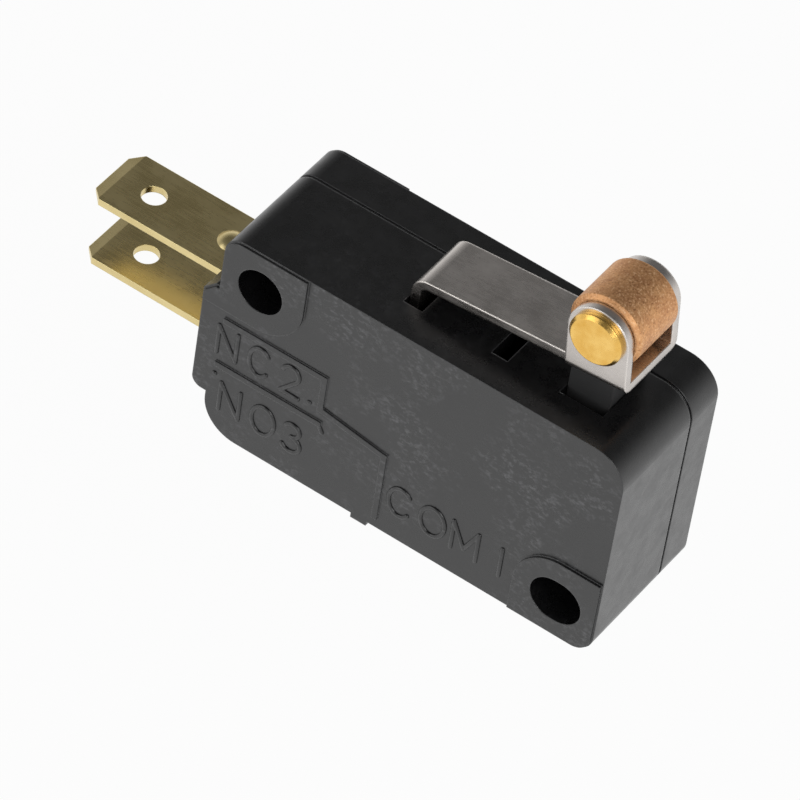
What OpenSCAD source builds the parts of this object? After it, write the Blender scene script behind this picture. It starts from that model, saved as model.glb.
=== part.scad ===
// Lever snap switch, standard 27.8 x 15.9 mm format, with a hinged roller lever.
// X runs along the body towards the roller, Y through its thickness, Z up towards the lever.
// The origin is the centre of the round mounting hole, half way through the body.

/* [Body] */
// Length of the body along X, without the terminal block
body_l = 27.8; // [27:0.1:29]
// Height of the body from its underside to the plunger face
body_h = 15.9; // [15.4:0.1:17]
// Thickness of the moulded case, from its front face to the parting plane
case_t = 6.98; // [6.8:0.02:7.4]
// Thickness of the moulded cover, from the parting plane to its rear face
cover_t = 2.92; // [2.8:0.02:3.4]
// Thickness of every moulded side wall
wall_t = 1.3; // [1.1:0.05:1.4]
// Thickness of the front wall and of the rear wall
face_t = 1.1; // [0.9:0.05:1.3]
// Radius of the top corner over the terminals
corner_tl = 1.3; // [0.8:0.1:1.6]
// Radius of the top corner beside the roller
corner_tr = 2.2; // [1.5:0.1:2.6]
// Radius of the bottom corner beside the slotted hole
corner_br = 1.3; // [0.8:0.1:2]
// Radius of the bottom corner under the terminals
corner_bl = 2.4; // [1.5:0.1:2.6]
// Width of the groove that shows the parting plane
groove_w = 0.2; // [0.1:0.05:0.3]
// Depth of that groove
groove_d = 0.15; // [0.1:0.05:0.25]

/* [Terminal block] */
// How far the block stands out of the left end
block_out = 1.05; // [0.8:0.05:1.4]
// Depth of the block's underside below the lower tab's mid plane
block_under = 1.85; // [1.6:0.05:2.1]
// Height of the block's top above the upper tab's mid plane
block_over = 2.05; // [1.9:0.05:2.3]
// Size of the chamfer on the block's top corner
block_chamfer = 0.8; // [0.4:0.1:1]
// Radius of the block's bottom corner
block_r = 0.7; // [0.4:0.1:1]

/* [Mounting] */
// Diameter of the round mounting hole and width of the slotted one
hole_d = 3.1; // [3:0.05:3.3]
// End to end length of the slotted hole
slot_l = 3.5; // [3.35:0.05:3.8]
// Distance from the body's left end to the round hole
hole_in_x = 2.8; // [2.7:0.05:2.9]
// Distance from the plunger face down to the round hole
hole_in_z = 2.8; // [2.7:0.05:2.9]
// Distance from the body's right end to the slotted hole
slot_in_x = 2.75; // [2.7:0.05:2.9]
// Distance from the body's underside up to the slotted hole
slot_in_z = 2.8; // [2.7:0.05:2.9]
// Half width of the raised pad round each hole
pad_r = 3.0; // [2.8:0.05:3.1]
// Height of the raised pads
pad_t = 0.2; // [0.1:0.05:0.3]
// Width of the raised circuit lines on the marked face
line_w = 0.4; // [0.3:0.05:0.5]
// Height of the raised circuit lines
line_h = 0.12; // [0.08:0.01:0.15]

/* [Plunger] */
// Distance of the plunger's centre from the body's right end
plunger_in_x = 4.72; // [4.5:0.02:4.9]
// Width of the plunger head along X
plunger_w = 2.85; // [2.4:0.05:3]
// Thickness of the plunger head along Y
plunger_d = 3.8; // [3.2:0.1:4.2]
// Radius of the crowned top of the plunger
plunger_crown = 3.2; // [2.6:0.1:4]
// Sliding clearance between the plunger and its guides
slide_gap = 0.06; // [0.04:0.01:0.08]

/* [Lever] */
// Thickness of the lever's sheet steel
lever_t = 0.6; // [0.5:0.05:0.65]
// Width of the lever's arm
lever_w = 4.3; // [4:0.1:4.6]
// Inner radius of the bend at the root of the lever
lever_bend_r = 0.5; // [0.4:0.05:0.6]
// Distance along X from the lever's pivot to the plunger
arm_reach = 11.88; // [11.7:0.02:12]
// Slope of the arm when nothing presses it
lever_slope = 5; // [4.5:0.1:5.5]
// Angle through which the roller can press the lever down
lever_press = 8; // [6:0.5:8]
// Height of the bend's centre above the plunger face
lever_bend_z = 0.71; // [0.66:0.01:0.8]
// Length of each lever slot in the plunger face, along Y
face_slot_l = 5.3; // [5:0.1:5.6]
// Width of each lever slot, along X
lever_slot_w = 1.3; // [1.2:0.05:1.4]

/* [Roller] */
// Diameter of the roller
roller_d = 4.8; // [4.6:0.1:5]
// Height of the roller's axis above the underside of the fork
axle_h = 3.42; // [3.3:0.02:3.6]
// Outer width of the fork that holds the roller
fork_w = 5.4; // [5.2:0.1:5.8]
// Length of the fork along the lever
fork_l = 4.06; // [3.8:0.02:4.2]
// Diameter of the axle's shank
axle_d = 1.9; // [1.6:0.1:2.1]
// Diameter of the axle's head
axle_head_d = 3.5; // [3:0.1:3.7]
// Thickness of the axle's head
axle_head_t = 0.5; // [0.4:0.05:0.6]
// Running clearance of the roller on the axle and beside the ears
run_gap = 0.05; // [0.03:0.01:0.08]

/* [Terminals] */
// Width of the quick-connect tabs
tab_w = 4.75; // [4.7:0.05:4.8]
// Thickness of the quick-connect tabs
tab_t = 0.5; // [0.45:0.05:0.55]
// Reach of the two side tabs beyond the body's left end
tab_out = 11.2; // [10.8:0.1:11.6]
// Distance from the plunger face down to the upper tab's mid plane
tab_in_z = 6.3; // [6.2:0.05:6.4]
// Distance between the mid planes of the two side tabs
tab_pitch = 4.9; // [4.8:0.05:5]
// Diameter of the hole in each tab
tab_hole_d = 1.6; // [1.4:0.1:1.8]
// Distance of that hole from the tip of the tab
tab_hole_in = 3.05; // [2.9:0.05:3.2]
// Diameter of the stop dimple on the upper tab
dimple_d = 1.9; // [1.6:0.1:2.1]
// Distance along X from the common terminal to the plunger
com_reach = 11.93; // [11.8:0.05:12.1]
// Depth of the common tab's lower face below the body
com_drop = 3.1; // [2.9:0.05:3.3]
// Length of the common tab from its bend to its tip
com_l = 6.65; // [6.4:0.05:7]

/* [Contacts] */
// Diameter of the contact faces
contact_d = 2.4; // [2:0.1:2.6]
// Height of each fixed contact's head
contact_h = 0.7; // [0.6:0.02:0.76]
// Gap left between contacts that touch
contact_gap = 0.03; // [0.02:0.01:0.05]
// Angle through which the moving contact arm swings
arm_swing = 5; // [4:0.25:5.2]
// Thickness of the moving contact arm and of the actuating strip
blade_t = 0.3; // [0.25:0.01:0.32]

/* [Snap spring] */
// Outer diameter of the coil
coil_d = 1.7; // [1.4:0.1:1.8]
// Diameter of the spring wire
wire_d = 0.26; // [0.2:0.02:0.3]
// Number of turns
coil_turns = 13; // [8:1:14]

/* [Hidden] */
$fn = 48;

// A small overlap for cutters, so that no cut ends on a face
cut = 0.5;
// Clearance of every part that is fitted between the mouldings
seat_gap = 0.05;

// Body planes. Inside these modules x, y and z are measured from the round hole.
left_x = -hole_in_x;
right_x = left_x + body_l;
top_z = hole_in_z;
base_z = top_z - body_h;
body_t = case_t + cover_t;
front_y = -body_t / 2;
part_y = front_y + case_t;
rear_y = body_t / 2;
block_x = left_x - block_out;
cavity_y0 = front_y + face_t;
cavity_y1 = rear_y - face_t;
cavity_x0 = left_x + wall_t;
cavity_x1 = right_x - wall_t;
cavity_z0 = base_z + wall_t;
cavity_z1 = top_z - wall_t;
boss_r = pad_r - 0.2;
hole2_x = right_x - slot_in_x;
hole2_z = base_z + slot_in_z;

// Lever: the pivot is where the side lugs of its root rock in the case
plunger_x = right_x - plunger_in_x;
pivot_x = plunger_x - arm_reach;
pivot_z = cavity_z1 - 0.7;
lug_h = 0.8;
lug_side = 0.85;
// Pitch from the lever's slot to the spare one
spare_pitch = 6.25;
pocket_r = norm([lever_t, lug_h]) / 2 + run_gap;
bend_x = pivot_x + lever_t / 2 + lever_bend_r;
bend_z = top_z + lever_bend_z;
slope_n = [-sin(lever_slope), cos(lever_slope)];
// Distance of the arm's underside from the pivot, square to the arm
under_h = (bend_x - pivot_x) * slope_n[0] + (bend_z - pivot_z) * slope_n[1] + lever_bend_r;
axle_past = 0.25;
axle_x = plunger_x + axle_past;
fork_mid_u = (axle_x - bend_x) / cos(lever_slope) + (axle_h + lever_bend_r) * tan(lever_slope);
axle_z = bend_z + fork_mid_u * sin(lever_slope) + (axle_h + lever_bend_r) * cos(lever_slope);
arm_u = fork_mid_u - fork_l / 2;
ear_inner_y = fork_w / 2 - lever_t;
roller_w = 2 * (ear_inner_y - run_gap);

// Plunger: its crown touches the arm's underside and its tip the actuating strip
touch_gap = 0.04;
pressed_slope = lever_press - lever_slope;
crown_h = under_h - touch_gap - plunger_crown;
crown_z = pivot_z + (crown_h + arm_reach * sin(lever_slope)) / cos(lever_slope);
crown_low_z = pivot_z + (crown_h - arm_reach * sin(pressed_slope)) / cos(pressed_slope);
plunger_travel = crown_z - crown_low_z;
flange_w = plunger_w + 1.5;
flange_t = 1.7;
flange_d = face_slot_l + 0.5;
flange_z1 = cavity_z1 - 0.12;
stem_w = 1.3;
stem_d = 2.8;
tip_r = stem_w / 2;

// Contact levels. The arm lies level against the upper contact at rest.
nc_zc = top_z - tab_in_z;
no_zc = nc_zc - tab_pitch;
contact_in = 5.2;
contact_x = cavity_x0 + contact_in;
nc_face_z = nc_zc - tab_t / 2 - contact_h;
no_face_z = no_zc + tab_t / 2 + contact_h;
moving_h = 0.72;
moving_half = moving_h + blade_t / 2;
arm_z = nc_face_z - contact_gap - moving_half;
knife_back = 3.98;
knife_x = plunger_x - knife_back;
knife_r = blade_t / 2;

// Bracket that carries both knife edges
foot_z0 = cavity_z0 + seat_gap;
bracket_z0 = foot_z0 + tab_t;
bracket_t = 0.5;
notch_d = 0.12;
notch_r = knife_r + seat_gap;
upright_x0 = knife_x + notch_r - notch_d;
bracket_d = 5.4;
window_d = 2.8;
tongue_d = 1.8;

// Actuating strip: it turns about the tongue's notch by strip_swing
strip_reach = 8.23;
strip_x = plunger_x - strip_reach;
strip_z = arm_z - 2.85;
strip_slope = atan(plunger_travel / (2 * (plunger_x - strip_x)));
strip_swing = 2 * strip_slope;
strip_w = 2.0;
pad_start = [knife_x + 1.55, arm_z + 0.65];
pad_end_x = plunger_x + 1.4;
pad_end = [pad_end_x, pad_start[1] + (pad_end_x - pad_start[0]) * tan(strip_slope)];
strip_knee = [knife_x + 0.7, arm_z - 1.45];
pad_h = (strip_x - pad_start[0]) * sin(strip_slope)
      + (pad_start[1] - strip_z) * cos(strip_slope) + blade_t / 2;
tip_z = strip_z + (pad_h + touch_gap + tip_r + (plunger_x - strip_x) * sin(strip_slope))
      / cos(strip_slope);

// Snap spring: hooks, coil axis and wire
rivet_gap = 0.02;
shank_d = 1.2;
web_x = contact_x + 4.3;
hook_x = web_x - 0.7;
hook_hole_d = 0.7;
hook_drop = 0.4;
hook_rise = 0.4;
pad_hook_x = pad_start[0] + 0.55;
pad_hook_z = pad_start[1] + 0.55 * tan(strip_slope);
coil_r = (coil_d - wire_d) / 2;
coil_steps = 10;
wire_sides = 6;
hook_line = [pad_hook_x - hook_x, pad_hook_z - arm_z];
coil_dir = hook_line / norm(hook_line);
coil_up = [-coil_dir[1], 0, coil_dir[0]];
coil_from = [hook_x, arm_z + hook_rise] + 1.1 * coil_dir;
coil_to = [pad_hook_x, pad_hook_z + hook_rise] - 1.3 * coil_dir;

// Common terminal
com_x = plunger_x - com_reach;
com_bend_r = 0.5;
com_foot_r = 0.1;
com_tab_z = base_z - com_drop + tab_t / 2;

// ---------- helpers ----------

// Draws a flat outline, given in X and Z, from y0 to y1
module slab(y0, y1) {
    translate([0, y1, 0])
        rotate([90, 0, 0])
            linear_extrude(y1 - y0)
                children();
}

// Draws a flat outline, given in X and Y, from z0 to z1
module plate(z0, z1) {
    translate([0, 0, z0])
        linear_extrude(z1 - z0)
            children();
}

// What is cut from a square corner at the origin to round it, inside towards +X +Y
module corner_cut(r) {
    difference() {
        translate([-cut, -cut])
            square(r + cut);
        translate([r, r])
            circle(r);
    }
}

// A rectangle with four corner radii: bottom left, bottom right, top right, top left
module round_rect(x0, z0, x1, z1, radii) {
    corners = [[x0, z0, 0], [x1, z0, 90], [x1, z1, 180], [x0, z1, 270]];
    difference() {
        translate([x0, z0])
            square([x1 - x0, z1 - z0]);
        for (i = [0:3])
            if (radii[i] > 0)
                translate([corners[i][0], corners[i][1]])
                    rotate(corners[i][2])
                        corner_cut(radii[i]);
    }
}

// A straight strip between two points, with round ends
module strip_seg(p, q, t) {
    d = q - p;
    translate(p)
        rotate(atan2(d[1], d[0]))
            translate([0, -t / 2])
                square([norm(d), t]);
    for (c = [p, q])
        translate(c)
            circle(t / 2);
}

// A straight strip between two points, with square ends half its width beyond them
module line_seg(p, q, w) {
    d = q - p;
    translate(p)
        rotate(atan2(d[1], d[0]))
            translate([-w / 2, -w / 2])
                square([norm(d) + w, w]);
}

// A bend of thickness t about the origin, from angle a0 to a1, less than half a turn
module bend(r, t, a0, a1) {
    reach = 2 * (r + t);
    mid = (a0 + a1) / 2;
    intersection() {
        difference() {
            circle(r + t);
            circle(r);
        }
        polygon([[0, 0], reach * [cos(a0), sin(a0)], reach * [cos(mid), sin(mid)],
                 reach * [cos(a1), sin(a1)]]);
    }
}

// ---------- mouldings ----------

// Outline of the body with its terminal block, inset all round
module body_outline(inset = 0) {
    round_rect(left_x + inset, base_z + inset, right_x - inset, top_z - inset,
               [corner_bl - inset, corner_br - inset, corner_tr - inset, corner_tl - inset]);
    z0 = no_zc - block_under + inset;
    z1 = nc_zc + block_over - inset;
    x0 = block_x + inset;
    difference() {
        round_rect(x0, z0, left_x + wall_t, z1, [block_r, 0, 0, 0]);
        translate([x0, z1])
            rotate(45)
                square(block_chamfer * sqrt(2), center = true);
    }
}

// Corner piece round a mounting hole: square outwards, round inwards
module hole_boss(r, reach) {
    circle(r);
    translate([-reach, -r])
        square([reach, 2 * r]);
    translate([-r, 0])
        square([2 * r, reach]);
    translate([-reach, 0])
        square(reach);
}

module both_bosses(r) {
    reach = boss_r + wall_t;
    hole_boss(r, reach);
    translate([hole2_x, hole2_z])
        rotate(180)
            hole_boss(r, reach);
}

// Raised pads round the holes, held just inside the edge of the face
module pads_outline() {
    intersection() {
        both_bosses(pad_r);
        body_outline(0.1);
    }
}

module cavity_outline() {
    difference() {
        round_rect(cavity_x0, cavity_z0, cavity_x1, cavity_z1, [0.6, 0.6, 0.9, 0.6]);
        both_bosses(boss_r);
    }
}

module slotted_hole() {
    half = (slot_l - hole_d) / 2;
    for (side = [-1, 1])
        translate([hole2_x + side * half, hole2_z])
            circle(hole_d / 2);
    translate([hole2_x - half, hole2_z - hole_d / 2])
        square([2 * half, hole_d]);
}

module mounting_holes() {
    slab(front_y - pad_t - cut, rear_y + pad_t + cut) {
        circle(hole_d / 2);
        slotted_hole();
    }
}

// Slots in the plunger face: lever root, spare lever position, plunger
module face_slot(x, w) {
    translate([x - w / 2, -face_slot_l / 2, cavity_z1 - cut])
        cube([w, face_slot_l, wall_t + 2 * cut]);
}

module face_slots() {
    face_slot(pivot_x - lever_t / 2 - 0.12 + lever_slot_w / 2, lever_slot_w);
    face_slot(pivot_x + spare_pitch, lever_slot_w - 0.2);
    face_slot(plunger_x, plunger_w + 2 * slide_gap);
}

// Slots for the three terminals
module terminal_slots() {
    w = tab_w + 2 * seat_gap;
    h = tab_t + 2 * seat_gap;
    for (z = [nc_zc, no_zc]) {
        translate([block_x - cut, -w / 2, z - h / 2])
            cube([cavity_x0 - block_x + 2 * cut, w, h]);
    }
    translate([com_x - tab_t / 2 - seat_gap, -w / 2, base_z - 1])
        cube([h, w, wall_t + 1 + cut]);
}

// Round pockets in which the lever's side lugs rock
module lug_pockets() {
    y = lever_w / 2 + lug_side + run_gap;
    translate([pivot_x, y, pivot_z])
        rotate([90, 0, 0])
            cylinder(r = pocket_r, h = 2 * y);
}

// Ribs that guide the plunger flange, reaching in from y0 to y1
module guide_rib(y0, y1) {
    slab(y0, y1)
        translate([plunger_x - 1.2, cavity_z1 - 5])
            square([2.4, 5 + cut]);
}

// Block under the plunger face that carries the lug pockets
module pivot_block(y0, y1) {
    slab(y0, y1)
        translate([pivot_x - pocket_r - 0.7, pivot_z - pocket_r - 0.5])
            square([2 * (pocket_r + 0.7), pocket_r + 0.5 + 0.7 + cut]);
}

// Raised circuit lines on the front face
module circuit_lines() {
    stop_x = com_x + 1.3;
    turn_x = left_x + 7.8;
    nc_line_z = nc_zc - 0.4;
    no_line_z = no_zc + 0.8;
    nc_line = [[left_x + 0.8, nc_line_z], [turn_x, nc_line_z], [turn_x, no_line_z + 1.2],
               [stop_x, no_line_z + 0.45], [stop_x, base_z + 0.9]];
    no_line = [[left_x + 0.6, no_line_z], [turn_x, no_line_z]];
    slab(front_y - line_h, front_y + cut) {
        for (i = [1:len(nc_line) - 1])
            line_seg(nc_line[i - 1], nc_line[i], line_w);
        line_seg(no_line[0], no_line[1], line_w);
    }
}

// Boss under the body beside the common terminal
module com_boss() {
    slab(front_y, -tab_w / 2 - 0.2)
        translate([com_x - 0.3, base_z - 0.35])
            square([1.1, 0.35 + cut]);
}

module case() {
    color([0.2, 0.2, 0.2])
        difference() {
            union() {
                difference() {
                    slab(front_y, part_y)
                        body_outline();
                    slab(cavity_y0, part_y + cut)
                        cavity_outline();
                }
                slab(front_y - pad_t, front_y + cut)
                    pads_outline();
                guide_rib(cavity_y0 - cut, -flange_d / 2 - slide_gap);
                pivot_block(cavity_y0 - cut, -face_slot_l / 2);
                com_boss();
                circuit_lines();
            }
            mounting_holes();
            face_slots();
            terminal_slots();
            lug_pockets();
            locating_pins(seat_gap);
        }
}

// Places of the two pins that locate the cover on the case
module locating_pins(gap) {
    left_pin = [(block_x + cavity_x0) / 2, (nc_zc + no_zc) / 2];
    right_pin = [right_x - wall_t / 2, (base_z + top_z) / 2];
    for (p = [left_pin, right_pin])
        translate([p[0], part_y + gap, p[1]])
            rotate([90, 0, 0])
                cylinder(d = 0.6 + 2 * gap, h = 1.2 + 2 * gap);
}

module cover() {
    color([0.16, 0.16, 0.16])
        difference() {
            union() {
                difference() {
                    union() {
                        slab(part_y, part_y + groove_w)
                            body_outline(groove_d);
                        slab(part_y + groove_w, rear_y)
                            body_outline();
                    }
                    slab(part_y - cut, cavity_y1)
                        cavity_outline();
                }
                slab(rear_y - cut, rear_y + pad_t)
                    pads_outline();
                guide_rib(flange_d / 2 + slide_gap, cavity_y1 + cut);
                pivot_block(face_slot_l / 2, cavity_y1 + cut);
                locating_pins(0);
            }
            mounting_holes();
            face_slots();
            terminal_slots();
            lug_pockets();
        }
}

// ---------- lever and roller ----------

module plunger() {
    color([0.1, 0.1, 0.1])
        union() {
            slab(-plunger_d / 2, plunger_d / 2)
                intersection() {
                    translate([plunger_x - plunger_w / 2, flange_z1 - cut])
                        square([plunger_w, crown_z + plunger_crown + 1 - flange_z1]);
                    union() {
                        translate([plunger_x, crown_z])
                            circle(plunger_crown);
                        translate([plunger_x - plunger_w, flange_z1 - 1])
                            square([2 * plunger_w, crown_z - flange_z1 + 1]);
                    }
                }
            slab(-flange_d / 2, flange_d / 2)
                translate([plunger_x - flange_w / 2, flange_z1 - flange_t])
                    square([flange_w, flange_t]);
            slab(-stem_d / 2, stem_d / 2) {
                translate([plunger_x, tip_z])
                    circle(tip_r);
                translate([plunger_x - tip_r, tip_z])
                    square([stem_w, flange_z1 - flange_t - tip_z + 0.1]);
            }
        }
}

// Frame of the arm: X along its slope, Z square to it, origin at the bend's centre
module on_arm() {
    translate([bend_x, 0, bend_z])
        rotate([0, -lever_slope, 0])
            children();
}

// Side view of the lever from its root to the start of the fork
module lever_side() {
    translate([pivot_x - lever_t / 2, pivot_z - lug_h / 2])
        square([lever_t, bend_z - pivot_z + lug_h / 2]);
    translate([bend_x, bend_z]) {
        bend(lever_bend_r, lever_t, 90 + lever_slope, 180);
        rotate(lever_slope)
            translate([0, lever_bend_r])
                square([arm_u + lever_t, lever_t]);
    }
}

// Fork: a trough bent from the sheet, whose ears are round over the axle
module fork() {
    axle_v = lever_bend_r + axle_h;
    ear_r = fork_l / 2;
    intersection() {
        translate([arm_u, 0, 0])
            rotate([90, 0, 90])
                linear_extrude(fork_l)
                    difference() {
                        round_rect(-fork_w / 2, lever_bend_r, fork_w / 2, axle_v + 2 * ear_r,
                                   [lever_t, lever_t, 0, 0]);
                        translate([-ear_inner_y, lever_bend_r + lever_t])
                            square([2 * ear_inner_y, axle_v + 2 * ear_r]);
                    }
        slab(-fork_w, fork_w) {
            translate([fork_mid_u, axle_v])
                circle(ear_r);
            translate([arm_u - 1, lever_bend_r - 1])
                square([1 + fork_l - 0.001, axle_v + 1 - lever_bend_r]);
        }
    }
}

module lever() {
    side = lever_w / 2 + lug_side;
    color([0.62, 0.6, 0.57])
        difference() {
            union() {
                slab(-lever_w / 2, lever_w / 2)
                    lever_side();
                slab(-side, side)
                    translate([pivot_x - lever_t / 2, pivot_z - lug_h / 2])
                        square([lever_t, lug_h]);
                on_arm()
                    fork();
            }
            at_axle()
                cylinder(d = axle_d + 2 * rivet_gap, h = 2 * fork_w, center = true);
        }
}

// Frame of the axle: Z points out of the front of the fork
module at_axle() {
    translate([axle_x, 0, axle_z])
        rotate([90, 0, 0])
            children();
}

module roller() {
    r = roller_d / 2;
    h = roller_w / 2;
    c = 0.22;
    bore_r = axle_d / 2 + run_gap;
    color([0.76, 0.51, 0.33])
        at_axle()
            rotate_extrude()
                polygon([[bore_r, -h], [r - c, -h], [r, c - h], [r, h - c], [r - c, h],
                         [bore_r, h]]);
}

// Riveted axle: a turned head in front, a formed head behind
module roller_axle() {
    z = fork_w / 2;
    r = axle_d / 2;
    head_r = axle_head_d / 2;
    c = 0.22;
    tail_r = 1.3;
    tail_t = 0.35;
    color([0.9, 0.7, 0.25])
        at_axle()
            rotate_extrude()
                polygon([[0, -z - tail_t], [tail_r - tail_t / 2, -z - tail_t],
                         [tail_r, -z - tail_t / 2], [tail_r, -z], [r, -z], [r, z],
                         [head_r, z], [head_r, z + axle_head_t - c],
                         [head_r - c, z + axle_head_t], [0, z + axle_head_t]]);
}

// ---------- terminals ----------

// Flat outline of a quick-connect tab with its tip at the origin, running along +X
module tab_outline(l) {
    w = tab_w / 2;
    c = 0.75;
    difference() {
        polygon([[0, c - w], [c, -w], [l, -w], [l, w], [c, w], [0, w - c]]);
        translate([tab_hole_in, 0])
            circle(tab_hole_d / 2);
    }
}

// Lead-in bevels on both faces of a tab's tip
module tip_bevels() {
    bevel_l = 0.7;
    bevel_t = 0.14;
    for (side = [-1, 1])
        slab(-tab_w, tab_w)
            scale([1, side])
                polygon([[-1, tab_t / 2 - bevel_t], [0, tab_t / 2 - bevel_t], [bevel_l, tab_t / 2],
                         [bevel_l, tab_t], [-1, tab_t]]);
}

// A side terminal: outer tab, shoulders behind the wall, inner pad for the contact
module side_terminal(z) {
    tip_x = left_x - tab_out;
    inner_w = 3.6;
    inner_end = contact_x + inner_w / 2;
    shoulder_w = tab_w + 0.8;
    translate([0, 0, z])
        difference() {
            plate(-tab_t / 2, tab_t / 2) {
                translate([tip_x, 0])
                    tab_outline(cavity_x0 - tip_x + 1);
                translate([cavity_x0 + seat_gap, -shoulder_w / 2])
                    square([1.2, shoulder_w]);
                translate([cavity_x0, -inner_w / 2])
                    square([contact_x - cavity_x0, inner_w]);
                translate([contact_x, 0])
                    circle(inner_w / 2);
            }
            translate([tip_x, 0, 0])
                tip_bevels();
            translate([contact_x, 0, -tab_t])
                cylinder(d = shank_d + 2 * rivet_gap, h = 2 * tab_t);
        }
}

module nc_terminal() {
    color([0.71, 0.63, 0.38])
        union() {
            side_terminal(nc_zc);
            translate([block_x - 1.4, 0, nc_zc])
                intersection() {
                    translate([0, 0, tab_t / 2 - 0.1])
                        cylinder(d = dimple_d, h = 1);
                    translate([0, 0, tab_t / 2 + 0.42 - dimple_d * 0.65])
                        sphere(dimple_d * 0.65);
                }
        }
}

module no_terminal() {
    color([0.71, 0.63, 0.38])
        side_terminal(no_zc);
}

// A riveted contact that points up from the plane z, with its formed head t below
module contact_rivet(t) {
    r = contact_d / 2;
    c = 0.12;
    formed_r = 0.9;
    formed_h = 0.3;
    rotate_extrude()
        polygon([[0, -t - formed_h], [formed_r - formed_h, -t - formed_h], [formed_r, -t],
                 [shank_d / 2, -t], [shank_d / 2, 0], [r, 0], [r, contact_h - c],
                 [r - c, contact_h], [0, contact_h]]);
}

module nc_contact() {
    color([0.8, 0.8, 0.78])
        translate([contact_x, 0, nc_zc - tab_t / 2])
            rotate([180, 0, 0])
                contact_rivet(tab_t);
}

module no_contact() {
    color([0.8, 0.8, 0.78])
        translate([contact_x, 0, no_zc + tab_t / 2])
            contact_rivet(tab_t);
}

// Common terminal: a foot on the cavity floor, a leg through the wall, a tab bent along the body
module com_terminal() {
    foot_x1 = knife_x - 0.8;
    h = tab_t / 2;
    color([0.78, 0.5, 0.38])
        difference() {
            union() {
                slab(-tab_w / 2, tab_w / 2) {
                    translate([com_x - h, com_tab_z + h + com_bend_r])
                        square([tab_t, foot_z0 - com_foot_r - com_tab_z - h - com_bend_r]);
                    translate([com_x - h - com_bend_r, com_tab_z + h + com_bend_r])
                        bend(com_bend_r, tab_t, 270, 360);
                    translate([com_x + h + com_foot_r, foot_z0 - com_foot_r])
                        bend(com_foot_r, tab_t, 90, 180);
                    translate([com_x + h + com_foot_r, foot_z0])
                        square([foot_x1 - com_x - h - com_foot_r, tab_t]);
                }
                translate([com_x - com_l, 0, com_tab_z])
                    difference() {
                        plate(-h, h)
                            tab_outline(com_l - h - com_bend_r);
                        tip_bevels();
                    }
            }
            bracket_holes();
        }
}

// ---------- snap mechanism ----------

module bracket_places() {
    for (side = [-1, 1])
        translate([com_x + 1.9, side * 1.4, 0])
            children();
}

module bracket_holes() {
    bracket_places()
        translate([0, 0, foot_z0 - cut])
            cylinder(d = 0.9 + 2 * rivet_gap, h = tab_t + bracket_t + 2 * cut);
}

module bracket_rivets() {
    color([0.75, 0.72, 0.6])
        bracket_places()
            translate([0, 0, foot_z0])
                rotate_extrude()
                    polygon([[0, 0], [0.45, 0], [0.45, tab_t + bracket_t], [0.8, tab_t + bracket_t],
                             [0.6, tab_t + bracket_t + 0.35], [0, tab_t + bracket_t + 0.35]]);
}

// Bracket: a base, a windowed upright for the arm and a lanced tongue for the strip
module com_bracket() {
    upright_h = arm_z + 0.9 - bracket_z0;
    tongue_h = strip_z + 0.45 - bracket_z0;
    tongue_x1 = strip_x + notch_r - notch_d;
    base_x0 = com_x + 0.7;
    sill_z = strip_z - 0.5;
    color([0.8, 0.72, 0.5])
        difference() {
            union() {
                difference() {
                    translate([base_x0, -bracket_d / 2, bracket_z0])
                        cube([upright_x0 + bracket_t - base_x0, bracket_d, bracket_t]);
                    translate([tongue_x1, -tongue_d / 2 - 0.1, bracket_z0 - cut])
                        cube([tongue_h, tongue_d + 0.2, bracket_t + 2 * cut]);
                }
                difference() {
                    translate([upright_x0, -bracket_d / 2, bracket_z0])
                        cube([bracket_t, bracket_d, upright_h]);
                    translate([upright_x0 - cut, -window_d / 2, sill_z])
                        cube([bracket_t + 2 * cut, window_d, upright_h]);
                }
                translate([tongue_x1 - bracket_t, -tongue_d / 2, bracket_z0])
                    cube([bracket_t, tongue_d, tongue_h]);
            }
            notch(knife_x, arm_z);
            notch(strip_x, strip_z);
            bracket_holes();
        }
}

// Groove in which a knife edge rocks
module notch(x, z) {
    translate([x, bracket_d, z])
        rotate([90, 0, 0])
            cylinder(r = notch_r, h = 2 * bracket_d);
}

// Contact arm: a nose for the contact, and two rails that end in knife edges
module contact_arm() {
    nose_x = contact_x - 1.5;
    nose_w = 3.2;
    full_w = bracket_d - 0.2;
    rail_w = 0.95;
    color([0.78, 0.55, 0.35])
        difference() {
            union() {
                plate(arm_z - blade_t / 2, arm_z + blade_t / 2) {
                    polygon([[nose_x, -nose_w / 2], [contact_x + 1.3, -nose_w / 2],
                             [contact_x + 2.6, -full_w / 2], [web_x, -full_w / 2],
                             [web_x, full_w / 2], [contact_x + 2.6, full_w / 2],
                             [contact_x + 1.3, nose_w / 2], [nose_x, nose_w / 2]]);
                    for (side = [-1, 1])
                        translate([web_x - 0.1, side * (full_w - rail_w) / 2 - rail_w / 2])
                            square([knife_x - web_x + 0.1, rail_w]);
                }
                for (side = [-1, 1])
                    translate([knife_x, side * (full_w - rail_w) / 2 + rail_w / 2, arm_z])
                        rotate([90, 0, 0])
                            cylinder(r = knife_r, h = rail_w);
            }
            translate([contact_x, 0, arm_z - 1])
                cylinder(d = shank_d + 2 * rivet_gap, h = 2);
            translate([hook_x, 0, arm_z - 1])
                cylinder(d = hook_hole_d, h = 2);
        }
}

// Double-headed rivet through the arm
module moving_contact() {
    r = contact_d / 2;
    c = 0.12;
    h = blade_t / 2;
    color([0.8, 0.8, 0.78])
        translate([contact_x, 0, arm_z])
            rotate_extrude()
                polygon([[0, -moving_half], [r - c, -moving_half], [r, c - moving_half], [r, -h],
                         [shank_d / 2, -h], [shank_d / 2, h], [r, h], [r, moving_half - c],
                         [r - c, moving_half], [0, moving_half]]);
}

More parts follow.
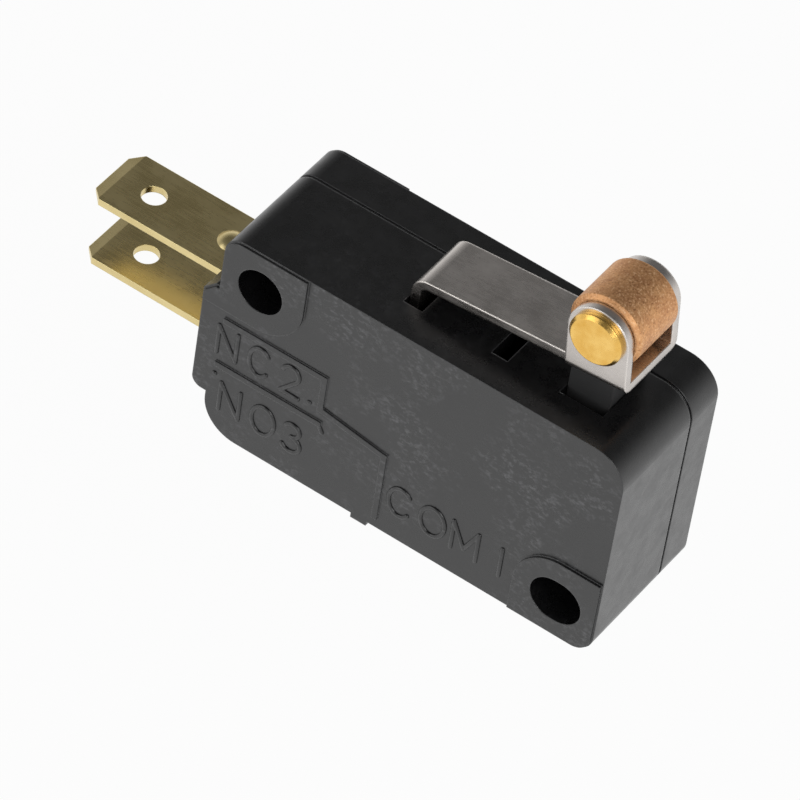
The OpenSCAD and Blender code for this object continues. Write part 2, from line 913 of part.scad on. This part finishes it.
// Actuating strip: from the tongue's notch, through the window, up to the pad under the plunger
module actuating_strip() {
    color([0.72, 0.7, 0.66])
        difference() {
            slab(-strip_w / 2, strip_w / 2) {
                strip_seg([strip_x, strip_z], strip_knee, blade_t);
                strip_seg(strip_knee, pad_start, blade_t);
                strip_seg(pad_start, pad_end, blade_t);
            }
            translate([pad_hook_x, 0, pad_hook_z - 1])
                cylinder(d = hook_hole_d, h = 2);
        }
}

// ---------- snap spring ----------

// Centre line: a hook down through the arm, the coil, a hook down through the strip's pad
function coil_point(i, n, from, along, angle) =
    let (s = i / n, r = coil_r * min(1, i / 6, (n - i) / 6))
    [from[0] + along[0] * s, r * sin(angle), from[1] + along[1] * s]
    + r * cos(angle) * coil_up;

function spring_path() =
    let (n = coil_turns * coil_steps,
         coil = [for (i = [0:n]) coil_point(i, n, coil_from, coil_to - coil_from,
                                            90 + 360 * i / coil_steps)])
    concat([[hook_x, 0, arm_z - hook_drop], [hook_x, 0, arm_z + hook_rise]], coil,
           [[pad_hook_x, 0, pad_hook_z + hook_rise], [pad_hook_x, 0, pad_hook_z - hook_drop]]);

// Direction from the coil's axis to the wire, at each point of the path
function spring_radials() =
    let (n = coil_turns * coil_steps)
    concat([[0, 1, 0], [0, 1, 0]],
           [for (i = [0:n]) let (a = 90 + 360 * i / coil_steps)
               cos(a) * coil_up + [0, sin(a), 0]],
           [[0, 1, 0], [0, 1, 0]]);

function unit(v) = v / norm(v);

// Ring of points round the wire at point i of the path
function wire_ring(path, radials, i) =
    let (a = path[max(i - 1, 0)],
         b = path[min(i + 1, len(path) - 1)],
         t = unit(b - a),
         across = unit(radials[i] - (radials[i] * t) * t),
         up = cross(t, across))
    [for (k = [0:wire_sides - 1])
        path[i] + wire_d / 2 * (cos(360 * k / wire_sides) * across
                              + sin(360 * k / wire_sides) * up)];

module snap_spring() {
    path = spring_path();
    radials = spring_radials();
    n = len(path);
    m = wire_sides;
    rings = [for (i = [0:n - 1]) each wire_ring(path, radials, i)];
    sides = [for (i = [0:n - 2], k = [0:m - 1])
                [i * m + k, (i + 1) * m + k, (i + 1) * m + (k + 1) % m, i * m + (k + 1) % m]];
    start = [[for (k = [0:m - 1]) k]];
    end = [[for (k = [0:m - 1]) n * m - 1 - k]];
    color([0.7, 0.7, 0.72])
        polyhedron(rings, concat(sides, start, end), convexity = 10);
}

case();
cover();
plunger();
lever();
roller();
roller_axle();
nc_terminal();
nc_contact();
no_terminal();
no_contact();
com_terminal();
com_bracket();
bracket_rivets();
contact_arm();
moving_contact();
actuating_strip();
snap_spring();
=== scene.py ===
"""Looks of a lever micro switch: materials, raised lettering, light and camera.

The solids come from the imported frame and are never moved. Lengths here are in metres; MM turns
millimetres into metres. +X points to the roller, -Y to the marked face, +Z to the lever.
"""

import math

import bmesh
import bpy
from mathutils import Matrix, Vector


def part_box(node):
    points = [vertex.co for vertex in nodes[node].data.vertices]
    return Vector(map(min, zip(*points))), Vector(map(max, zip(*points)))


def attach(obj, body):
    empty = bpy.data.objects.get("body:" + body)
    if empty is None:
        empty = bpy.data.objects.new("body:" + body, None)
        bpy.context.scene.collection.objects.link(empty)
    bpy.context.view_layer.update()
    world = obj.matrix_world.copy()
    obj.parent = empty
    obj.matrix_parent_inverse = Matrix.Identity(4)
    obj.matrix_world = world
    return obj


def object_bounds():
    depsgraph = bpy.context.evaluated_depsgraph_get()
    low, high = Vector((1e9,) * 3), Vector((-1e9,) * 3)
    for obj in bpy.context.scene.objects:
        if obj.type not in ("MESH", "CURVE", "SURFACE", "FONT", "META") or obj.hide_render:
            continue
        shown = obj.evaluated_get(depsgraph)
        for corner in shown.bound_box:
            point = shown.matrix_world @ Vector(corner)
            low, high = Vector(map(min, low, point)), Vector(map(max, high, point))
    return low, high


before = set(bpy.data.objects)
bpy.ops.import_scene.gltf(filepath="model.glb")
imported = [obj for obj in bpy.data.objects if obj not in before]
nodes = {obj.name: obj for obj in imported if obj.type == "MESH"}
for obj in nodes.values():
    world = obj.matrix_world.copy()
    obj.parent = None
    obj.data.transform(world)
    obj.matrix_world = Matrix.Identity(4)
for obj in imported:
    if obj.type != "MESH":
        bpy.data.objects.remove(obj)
cad_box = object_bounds()

MM = 0.001

# ---------------------------------------------------------------------------
# Node material helpers
# ---------------------------------------------------------------------------


def srgb(red, green, blue):
    """A linear colour from the 0 to 255 numbers of a screen colour."""
    def linear(value):
        value /= 255
        return value / 12.92 if value <= 0.04045 else ((value + 0.055) / 1.055) ** 2.4
    return (linear(red), linear(green), linear(blue), 1)


def node(tree, kind, **inputs):
    """A new shader node with its input sockets set by name."""
    made = tree.nodes.new(kind)
    for name, value in inputs.items():
        made.inputs[name.replace("_", " ")].default_value = value
    return made


def noise(tree, coords, scale, detail=3.0, roughness=0.5):
    """Fractal noise over the given coordinates, as its grey output."""
    made = node(tree, "ShaderNodeTexNoise", Scale=scale, Detail=detail, Roughness=roughness)
    tree.links.new(coords, made.inputs["Vector"])
    return made.outputs["Fac"]


def stretched(tree, coords, sizes):
    """Coordinates scaled by a different number along each axis."""
    made = tree.nodes.new("ShaderNodeMapping")
    made.inputs["Scale"].default_value = sizes
    tree.links.new(coords, made.inputs["Vector"])
    return made.outputs["Vector"]


def ramp(tree, value, *stops):
    """Colours laid along a grey value: each stop is (place, colour)."""
    made = tree.nodes.new("ShaderNodeValToRGB")
    elements = made.color_ramp.elements
    while len(elements) < len(stops):
        elements.new(0.5)
    for element, (place, colour) in zip(elements, stops):
        element.position = place
        element.color = colour
    tree.links.new(value, made.inputs["Fac"])
    return made.outputs["Color"]


def remap(tree, value, low, high, to_low, to_high):
    """A grey value moved from one range to another, held inside it."""
    made = tree.nodes.new("ShaderNodeMapRange")
    for name, number in (("From Min", low), ("From Max", high), ("To Min", to_low), ("To Max", to_high)):
        made.inputs[name].default_value = number
    tree.links.new(value, made.inputs["Value"])
    return made.outputs["Result"]


def blend_colours(tree, factor, first, second):
    """The first colour where factor is 0 and the second where it is 1."""
    made = tree.nodes.new("ShaderNodeMix")
    made.data_type = "RGBA"
    tree.links.new(factor, made.inputs["Factor"])
    for socket, colour in ((made.inputs[6], first), (made.inputs[7], second)):
        if isinstance(colour, tuple):
            socket.default_value = colour
        else:
            tree.links.new(colour, socket)
    return made.outputs[2]


def arithmetic(tree, operation, first, second):
    """One sum on two grey values; either may be a plain number."""
    made = tree.nodes.new("ShaderNodeMath")
    made.operation = operation
    for socket, value in zip(made.inputs, (first, second)):
        if isinstance(value, (int, float)):
            socket.default_value = value
        else:
            tree.links.new(value, socket)
    return made.outputs[0]


def bump(tree, height, strength, distance, normal=None):
    """A bump from a grey height, on top of another normal if one is given."""
    made = node(tree, "ShaderNodeBump", Strength=strength, Distance=distance)
    tree.links.new(height, made.inputs["Height"])
    if normal:
        tree.links.new(normal, made.inputs["Normal"])
    return made.outputs["Normal"]


def soft_edges(tree, radius):
    """A normal that turns smoothly over sharp edges, as a moulded or tumbled edge does."""
    made = node(tree, "ShaderNodeBevel", Radius=radius)
    made.samples = 6
    return made.outputs["Normal"]


def edge_mask(tree, radius):
    """1 near a sharp edge and 0 away from one, from how far the bevelled normal turns."""
    bevelled = soft_edges(tree, radius)
    plain = tree.nodes.new("ShaderNodeNewGeometry").outputs["Normal"]
    dot = tree.nodes.new("ShaderNodeVectorMath")
    dot.operation = "DOT_PRODUCT"
    tree.links.new(bevelled, dot.inputs[0])
    tree.links.new(plain, dot.inputs[1])
    return remap(tree, dot.outputs["Value"], 0.98, 0.8, 0.0, 1.0)


def broad_face(tree):
    """1 on the two broad faces, which get rubbed in handling, and little on the narrow ones."""
    facing = tree.nodes.new("ShaderNodeNewGeometry").outputs["Normal"]
    split = tree.nodes.new("ShaderNodeSeparateXYZ")
    tree.links.new(facing, split.inputs[0])
    return remap(tree, arithmetic(tree, "ABSOLUTE", split.outputs["Y"], 0), 0.6, 0.95, 0.12, 1.0)


def blank_material(name):
    """A material with its tree, its main shader and the object coordinates."""
    material = bpy.data.materials.new(name)
    material.use_nodes = True
    tree = material.node_tree
    shader = tree.nodes["Principled BSDF"]
    coords = tree.nodes.new("ShaderNodeTexCoord").outputs["Object"]
    return material, tree, shader, coords


def finish_material(tree, shader, colour, roughness, normal):
    """Joins the three varying channels to the shader."""
    tree.links.new(colour, shader.inputs["Base Color"])
    tree.links.new(roughness, shader.inputs["Roughness"])
    tree.links.new(normal, shader.inputs["Normal"])


# ---------------------------------------------------------------------------
# Materials
# ---------------------------------------------------------------------------

# Radius of a moulded edge in the housing, which also sets the width of the painted edge highlight
EDGE_SOFT = 0.12 * MM


def moulded_plastic(name, dark, pale, scuff_and_edge_highlight, rough_low=0.22, rough_high=0.36, wear=1.0):
    """Black thermoset: mottled sheen, pale rub marks in patches, a painted highlight along the edges and a
    fine moulded grain.
    """
    material, tree, shader, coords = blank_material(name)
    clouds = noise(tree, coords, 260, 5, 0.6)
    grain = noise(tree, coords, 5200, 2, 0.5)
    base = ramp(tree, clouds, (0.3, dark), (0.7, pale))
    patches = remap(tree, noise(tree, coords, 230, 3, 0.5), 0.44, 0.62, 0.0, wear)
    flecks = remap(tree, noise(tree, stretched(tree, coords, (1, 1, 1.5)), 2300, 5, 0.7), 0.5, 0.68, 0.0, 1.0)
    rubbed = arithmetic(tree, "MULTIPLY", arithmetic(tree, "MULTIPLY", patches, flecks), broad_face(tree))
    colour = blend_colours(tree, rubbed, base, scuff_and_edge_highlight)
    # Painted highlight: the pale scuff colour laid over every sharp edge, standing for the light that a
    # rounded edge catches.
    colour = blend_colours(tree, remap(tree, edge_mask(tree, EDGE_SOFT), 0.0, 1.0, 0.0, 0.35), colour, scuff_and_edge_highlight)
    rough = remap(tree, noise(tree, coords, 900, 6, 0.65), 0.3, 0.7, rough_low, rough_high)
    rough = arithmetic(tree, "ADD", rough, arithmetic(tree, "MULTIPLY", rubbed, 0.12))
    normal = bump(tree, grain, 0.25, 0.012 * MM, soft_edges(tree, EDGE_SOFT))
    normal = bump(tree, clouds, 0.25, 0.05 * MM, normal)
    shader.inputs["IOR"].default_value = 1.65
    finish_material(tree, shader, colour, rough, normal)
    return material


def sheet_metal(name, dark, bright, edge, grain_axis, rough_low, rough_high, soft=0.06 * MM):
    """Rolled sheet: grain along one axis, stains, and a painted highlight along the edges."""
    material, tree, shader, coords = blank_material(name)
    sizes = [1.0, 1.0, 1.0]
    sizes[grain_axis] = 0.06
    lines = noise(tree, stretched(tree, coords, sizes), 9000, 3, 0.6)
    stains = noise(tree, coords, 420, 5, 0.6)
    base = ramp(tree, stains, (0.3, dark), (0.72, bright))
    streaked = blend_colours(tree, remap(tree, lines, 0.4, 0.7, 0.0, 0.1), base, edge)
    # Painted highlight: the pale edge colour laid along every sharp edge, standing for the light that the
    # edges catch.
    colour = blend_colours(tree, edge_mask(tree, soft), streaked, edge)
    rough = remap(tree, arithmetic(tree, "ADD", lines, stains), 0.7, 1.3, rough_low, rough_high)
    normal = bump(tree, lines, 0.06, 0.003 * MM, soft_edges(tree, soft))
    shader.inputs["Metallic"].default_value = 1.0
    finish_material(tree, shader, colour, rough, normal)
    return material


def turned_metal(name, dark, bright, rough_low, rough_high, soft=0.08 * MM, pits=0.2):
    """Turned or headed metal: even colour, small stains and fine tool marks."""
    material, tree, shader, coords = blank_material(name)
    stains = noise(tree, coords, 800, 5, 0.6)
    marks = noise(tree, coords, 6000, 3, 0.6)
    colour = ramp(tree, stains, (0.3, dark), (0.68, bright))
    rough = remap(tree, marks, 0.3, 0.7, rough_low, rough_high)
    normal = bump(tree, marks, pits, 0.006 * MM, soft_edges(tree, soft))
    shader.inputs["Metallic"].default_value = 1.0
    finish_material(tree, shader, colour, rough, normal)
    return material


def sintered_bronze(name):
    """Pressed powder bronze: open pores, pale grains and a matt metal shine."""
    material, tree, shader, coords = blank_material(name)
    cells = node(tree, "ShaderNodeTexVoronoi", Scale=7000, Randomness=1.0)
    tree.links.new(coords, cells.inputs["Vector"])
    patches = noise(tree, coords, 1300, 6, 0.7)
    specks = noise(tree, coords, 7500, 3, 0.6)
    body = ramp(tree, patches, (0.32, srgb(196, 140, 96)), (0.68, srgb(232, 178, 124)))
    pale = blend_colours(tree, remap(tree, specks, 0.54, 0.66, 0.0, 0.75), body, srgb(250, 212, 168))
    colour = blend_colours(tree, remap(tree, specks, 0.44, 0.34, 0.0, 0.6), pale, srgb(146, 94, 60))
    rough = remap(tree, specks, 0.35, 0.65, 0.42, 0.62)
    normal = bump(tree, cells.outputs["Distance"], 0.3, 0.012 * MM, soft_edges(tree, 0.1 * MM))
    normal = bump(tree, specks, 0.3, 0.014 * MM, normal)
    shader.inputs["Metallic"].default_value = 0.85
    finish_material(tree, shader, colour, rough, normal)
    return material


# The axis that a sheet's rolling grain runs along
ALONG_X = 0
ALONG_Z = 2

finishes = {
    # The third colour of each plastic paints its rub marks and also a painted highlight along its edges.
    "case": moulded_plastic("case_plastic_look", srgb(9, 9, 10), srgb(15, 15, 16), srgb(76, 76, 78)),
    "cover": moulded_plastic("cover_plastic_look", srgb(10, 10, 11), srgb(16, 16, 17), srgb(62, 62, 64),
                             wear=0.6),
    "plunger": moulded_plastic("plunger_plastic_look", srgb(9, 9, 10), srgb(14, 14, 15), srgb(30, 30, 31),
                               rough_low=0.7, rough_high=0.85, wear=0.4),
    # The third colour of each sheet metal tints its rolling streaks a little and is also the painted
    # highlight along its edges; soft sets that highlight's width, widest on the lever.
    "lever": sheet_metal("lever_steel_look", srgb(188, 182, 177), srgb(214, 208, 203),
                         srgb(240, 234, 228), ALONG_X, 0.22, 0.34, soft=0.16 * MM),
    "roller": sintered_bronze("roller_bronze_look"),
    "roller_axle": turned_metal("axle_brass_look", srgb(226, 176, 84), srgb(246, 204, 118), 0.18, 0.3),
    "nc_terminal": sheet_metal("tab_brass_look", srgb(212, 192, 136), srgb(230, 212, 158),
                               srgb(248, 232, 172), ALONG_X, 0.22, 0.36),
    "nc_contact": turned_metal("contact_silver_look", srgb(206, 204, 200), srgb(232, 230, 226), 0.2, 0.34),
    "com_terminal": sheet_metal("com_copper_look", srgb(190, 126, 88), srgb(220, 160, 120),
                                srgb(240, 190, 150), ALONG_Z, 0.26, 0.4),
    "com_bracket": sheet_metal("bracket_brass_look", srgb(200, 166, 92), srgb(224, 192, 116),
                               srgb(240, 214, 144), ALONG_X, 0.26, 0.4),
    "bracket_rivets": turned_metal("rivet_brass_look", srgb(200, 160, 84), srgb(222, 184, 104), 0.24, 0.38),
    "contact_arm": sheet_metal("arm_copper_look", srgb(190, 126, 88), srgb(216, 150, 108),
                               srgb(236, 176, 136), ALONG_X, 0.24, 0.36),
    "actuating_strip": sheet_metal("strip_steel_look", srgb(160, 158, 156), srgb(190, 188, 186),
                                   srgb(224, 222, 220), ALONG_X, 0.2, 0.34),
    "snap_spring": turned_metal("spring_steel_look", srgb(150, 148, 146), srgb(184, 182, 180), 0.2, 0.3,
                                soft=0.02 * MM, pits=0.1),
}
finishes["no_terminal"] = finishes["nc_terminal"]
finishes["no_contact"] = finishes["nc_contact"]
finishes["moving_contact"] = finishes["nc_contact"]

for name, material in finishes.items():
    slots = nodes[name].data.materials
    slots.clear()
    slots.append(material)


# ---------------------------------------------------------------------------
# Raised lettering on the marked face
# ---------------------------------------------------------------------------

# The marked face lies behind the raised pads round the mounting holes.
PAD_RISE = 0.2 * MM
FACE_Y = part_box("case")[0].y + PAD_RISE
# Width and height of a stroke, and how far its foot reaches into the face
MARK_W = 0.3 * MM
MARK_RISE = 0.11 * MM
MARK_SUNK = 0.04 * MM
# Points over a stroke's crown, and rings in each rounded end
MARK_SIDES = 8
TAPER_STEPS = 3
# Turn of the last ring of a rounded end, short of a right angle so that the ring keeps a size
TAPER_TURN = 84


def arc(centre_x, centre_z, radius_x, radius_z, start, end, steps=14):
    """Points on part of an ellipse, in glyph units, from start to end degrees."""
    points = []
    for index in range(steps + 1):
        angle = math.radians(start + (end - start) * index / steps)
        points.append((centre_x + radius_x * math.cos(angle), centre_z + radius_z * math.sin(angle)))
    return points


# Each glyph is a list of strokes in a box 1 wide and 1 high.
GLYPHS = {
    "N": [[(0, 0), (0, 1)], [(0, 1), (1, 0)], [(1, 0), (1, 1)]],
    "C": [arc(0.5, 0.5, 0.5, 0.5, 42, 318, 20)],
    "O": [arc(0.5, 0.5, 0.5, 0.5, 0, 360, 28)],
    "M": [[(0, 0), (0, 1)], [(0, 1), (0.5, 0.2)], [(0.5, 0.2), (1, 1)], [(1, 1), (1, 0)]],
    "1": [[(0.5, 0), (0.5, 1)]],
    "2": [arc(0.48, 0.72, 0.45, 0.28, 165, -40) + [(0.04, 0)], [(0.04, 0), (1, 0)]],
    "3": [arc(0.42, 0.77, 0.44, 0.23, 150, -90, 12), arc(0.42, 0.27, 0.55, 0.27, 90, -150, 14)],
    "dot": [[(0.45, 0.5), (0.55, 0.5)]],
    "hook": [[(0, 1), (0.6, 0.7)], [(0.6, 0.7), (1, 0)]],
}


def bead_profile(width):
    """The cross-section of a moulded stroke: (across, outwards) points of a low round bead."""
    points = [(-width / 2, -MARK_SUNK)]
    for index in range(MARK_SIDES + 1):
        angle = math.pi * (1 - index / MARK_SIDES)
        points.append((width / 2 * math.cos(angle), MARK_RISE * math.sin(angle) ** 0.7))
    points.append((width / 2, -MARK_SUNK))
    return points


def bead(path, width, vertices, faces):
    """Adds one closed bead along a path of (x, z) points on the marked face, with round ends."""
    stations = [(Vector(point), 1.0) for point in path]
    first_way = (stations[0][0] - stations[1][0]).normalized()
    last_way = (stations[-1][0] - stations[-2][0]).normalized()
    for index in range(1, TAPER_STEPS + 1):
        turn = math.radians(TAPER_TURN * index / TAPER_STEPS)
        reach = width / 2 * math.sin(turn)
        stations.insert(0, (Vector(path[0]) + first_way * reach, math.cos(turn)))
        stations.append((Vector(path[-1]) + last_way * reach, math.cos(turn)))
    rings = []
    for index, (centre, size) in enumerate(stations):
        before = stations[max(index - 1, 0)][0]
        after = stations[min(index + 1, len(stations) - 1)][0]
        along = (after - before).normalized()
        side = Vector((-along.y, along.x))
        ring = []
        for across, out in bead_profile(width):
            spot = centre + side * across * size
            rise = out * size if out > 0 else out
            ring.append(len(vertices))
            vertices.append((spot.x, FACE_Y - rise, spot.y))
        rings.append(ring)
    count = len(rings[0])
    for ring, following in zip(rings, rings[1:]):
        for index in range(count):
            step = (index + 1) % count
            faces.append((ring[index], ring[step], following[step], following[index]))
    faces.append(tuple(reversed(rings[0])))
    faces.append(tuple(rings[-1]))


def mesh_piece(name, vertices, faces, material, smooth=True):
    """A mesh object whose faces all look outwards."""
    mesh = bpy.data.meshes.new(name)
    mesh.from_pydata(vertices, [], faces)
    made = bpy.data.objects.new(name, mesh)
    bpy.context.scene.collection.objects.link(made)
    work = bmesh.new()
    work.from_mesh(mesh)
    bmesh.ops.recalc_face_normals(work, faces=work.faces)
    work.to_mesh(mesh)
    work.free()
    for face in mesh.polygons:
        face.use_smooth = smooth
    mesh.materials.append(material)
    return made


def marking(name, glyphs):
    """One group of raised marks. Each glyph is (key, left, bottom, width, height) in mm."""
    vertices = []
    faces = []
    for key, left, bottom, width, height in glyphs:
        for stroke in GLYPHS[key]:
            path = [((left + width * u) * MM, (bottom + height * v) * MM) for u, v in stroke]
            bead(path, MARK_W, vertices, faces)
    made = mesh_piece(name, vertices, faces, finishes["case"])
    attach(made, "housing")
    return made


marking("mark_normally_closed", [
    ("N", -2.45, -6.7, 1.35, 2.2), ("C", -0.2, -6.7, 1.45, 2.2), ("2", 2.1, -6.7, 1.3, 2.2),
])
marking("mark_normally_open", [
    ("N", -1.8, -11.1, 1.4, 2.2), ("O", 0.5, -11.1, 1.6, 2.2), ("3", 2.85, -11.1, 1.2, 2.2),
])
marking("mark_common", [
    ("C", 10.35, -11.15, 1.6, 2.2), ("O", 12.6, -11.15, 1.7, 2.2),
    ("M", 14.85, -11.15, 1.75, 2.2), ("1", 17.9, -11.15, 0.7, 2.2),
])
marking("mark_diagram_ends", [
    ("dot", 4.0, -6.6, 0.4, 0.4), ("dot", -2.35, -7.95, 0.4, 0.4), ("dot", -2.6, -8.6, 0.5, 0.3),
    ("hook", 4.85, -8.2, 0.45, 0.5),
])


# ---------------------------------------------------------------------------
# Floor, light and camera
# ---------------------------------------------------------------------------

# Drop from the object to the sweep, and the sweep's side
FLOOR_GAP = 30 * MM
FLOOR_SIZE = 6.0
# Share of the sweep's own white against its lit paper, where the camera or gloss sees it
FLOOR_WHITE = 0.94
# Light of the room overhead, at the horizon, and on dull surfaces
SKY_GLOSS = 0.13
HORIZON_GLOSS = 0.9
ROOM_LIGHT = 0.45
# Height of a direction, 0 level and 1 straight up, from which the room is as dim as overhead
SKY_FROM = 0.66


def floor_material():
    """A white sweep: white to the camera and to gloss, clear from below, and it takes the shadow."""
    material = bpy.data.materials.new("sweep_white")
    material.use_nodes = True
    tree = material.node_tree
    tree.nodes.clear()
    output = tree.nodes.new("ShaderNodeOutputMaterial")
    paper = node(tree, "ShaderNodeBsdfDiffuse")
    paper.inputs["Color"].default_value = (0.8, 0.8, 0.8, 1)
    glow = node(tree, "ShaderNodeEmission", Strength=1.0)
    glow.inputs["Color"].default_value = (1, 1, 1, 1)
    path = tree.nodes.new("ShaderNodeLightPath")
    seen = arithmetic(tree, "MAXIMUM", path.outputs["Is Camera Ray"], path.outputs["Is Glossy Ray"])
    seen = arithmetic(tree, "MAXIMUM", seen, path.outputs["Is Transmission Ray"])
    share = arithmetic(tree, "MULTIPLY", seen, FLOOR_WHITE)
    mix = tree.nodes.new("ShaderNodeMixShader")
    tree.links.new(share, mix.inputs["Fac"])
    tree.links.new(paper.outputs[0], mix.inputs[1])
    tree.links.new(glow.outputs[0], mix.inputs[2])
    behind = tree.nodes.new("ShaderNodeNewGeometry").outputs["Backfacing"]
    clear = tree.nodes.new("ShaderNodeBsdfTransparent")
    one_sided = tree.nodes.new("ShaderNodeMixShader")
    tree.links.new(behind, one_sided.inputs["Fac"])
    tree.links.new(mix.outputs[0], one_sided.inputs[1])
    tree.links.new(clear.outputs[0], one_sided.inputs[2])
    tree.links.new(one_sided.outputs[0], output.inputs["Surface"])
    return material


half = FLOOR_SIZE / 2
floor_z = cad_box[0].z - FLOOR_GAP
floor = mesh_piece(
    "sweep",
    [(-half, -half, floor_z), (half, -half, floor_z), (half, half, floor_z), (-half, half, floor_z)],
    [(0, 1, 2, 3)], floor_material(), smooth=False,
)


def make_world():
    """A dim room above the sweep, white where the camera looks straight at it."""
    world = bpy.data.worlds.new("studio")
    bpy.context.scene.world = world
    world.use_nodes = True
    tree = world.node_tree
    tree.nodes.clear()
    output = tree.nodes.new("ShaderNodeOutputWorld")
    coords = tree.nodes.new("ShaderNodeTexCoord").outputs["Generated"]
    split = tree.nodes.new("ShaderNodeSeparateXYZ")
    tree.links.new(coords, split.inputs[0])
    level = remap(tree, split.outputs["Z"], 0.0, SKY_FROM, HORIZON_GLOSS, SKY_GLOSS)
    path = tree.nodes.new("ShaderNodeLightPath")
    ambient = arithmetic(tree, "MULTIPLY", path.outputs["Is Diffuse Ray"], ROOM_LIGHT)
    unseen = arithmetic(tree, "MAXIMUM", level, ambient)
    strength = arithmetic(tree, "MAXIMUM", unseen, path.outputs["Is Camera Ray"])
    background = node(tree, "ShaderNodeBackground")
    background.inputs["Color"].default_value = (1, 1, 1, 1)
    tree.links.new(strength, background.inputs["Strength"])
    tree.links.new(background.outputs[0], output.inputs["Surface"])


make_world()

middle = (Vector(cad_box[0]) + Vector(cad_box[1])) / 2


def soft_lamp(name, direction, distance, size, power):
    """A square soft lamp that looks at the middle of the object."""
    data = bpy.data.lights.new(name, "AREA")
    data.shape = "SQUARE"
    data.size = size
    data.energy = power
    lamp = bpy.data.objects.new(name, data)
    bpy.context.scene.collection.objects.link(lamp)
    way = Vector(direction).normalized()
    lamp.location = middle + way * distance
    lamp.rotation_euler = way.to_track_quat("Z", "Y").to_euler()
    return lamp


soft_lamp("key_lamp", (0.75, -0.45, 0.6), 0.6, 0.35, 1.3)
soft_lamp("fill_lamp", (-0.7, -0.9, 0.45), 0.7, 0.5, 1.2)

# The camera looks at a point beside the object's middle, from this side, height and distance.
CAMERA_TARGET = Vector((7.4073, 0.0000, -7.9219)) * MM
CAMERA_AZIMUTH = math.radians(27.936)
CAMERA_ELEVATION = math.radians(45.814)
CAMERA_ROLL = math.radians(9.572)
CAMERA_DISTANCE = 419.400 * MM

level_right = Vector((math.cos(CAMERA_AZIMUTH), math.sin(CAMERA_AZIMUTH), 0))
camera_back = Vector((
    math.sin(CAMERA_AZIMUTH) * math.cos(CAMERA_ELEVATION),
    -math.cos(CAMERA_AZIMUTH) * math.cos(CAMERA_ELEVATION),
    math.sin(CAMERA_ELEVATION),
))
level_up = camera_back.cross(level_right)
camera_right = level_right * math.cos(CAMERA_ROLL) + level_up * math.sin(CAMERA_ROLL)
camera_up = camera_back.cross(camera_right)
camera_at = CAMERA_TARGET + camera_back * CAMERA_DISTANCE

camera_data = bpy.data.cameras.new("camera")
camera_data.lens = 323.5
camera_data.sensor_width = 36
camera_data.clip_start = 0.01
camera_data.clip_end = 20
camera = bpy.data.objects.new("camera", camera_data)
bpy.context.scene.collection.objects.link(camera)
axes = Matrix((camera_right, camera_up, camera_back)).transposed()
camera.matrix_world = Matrix.Translation(camera_at) @ axes.to_4x4()
bpy.context.scene.camera = camera
bpy.context.scene.view_settings.view_transform = "Standard"
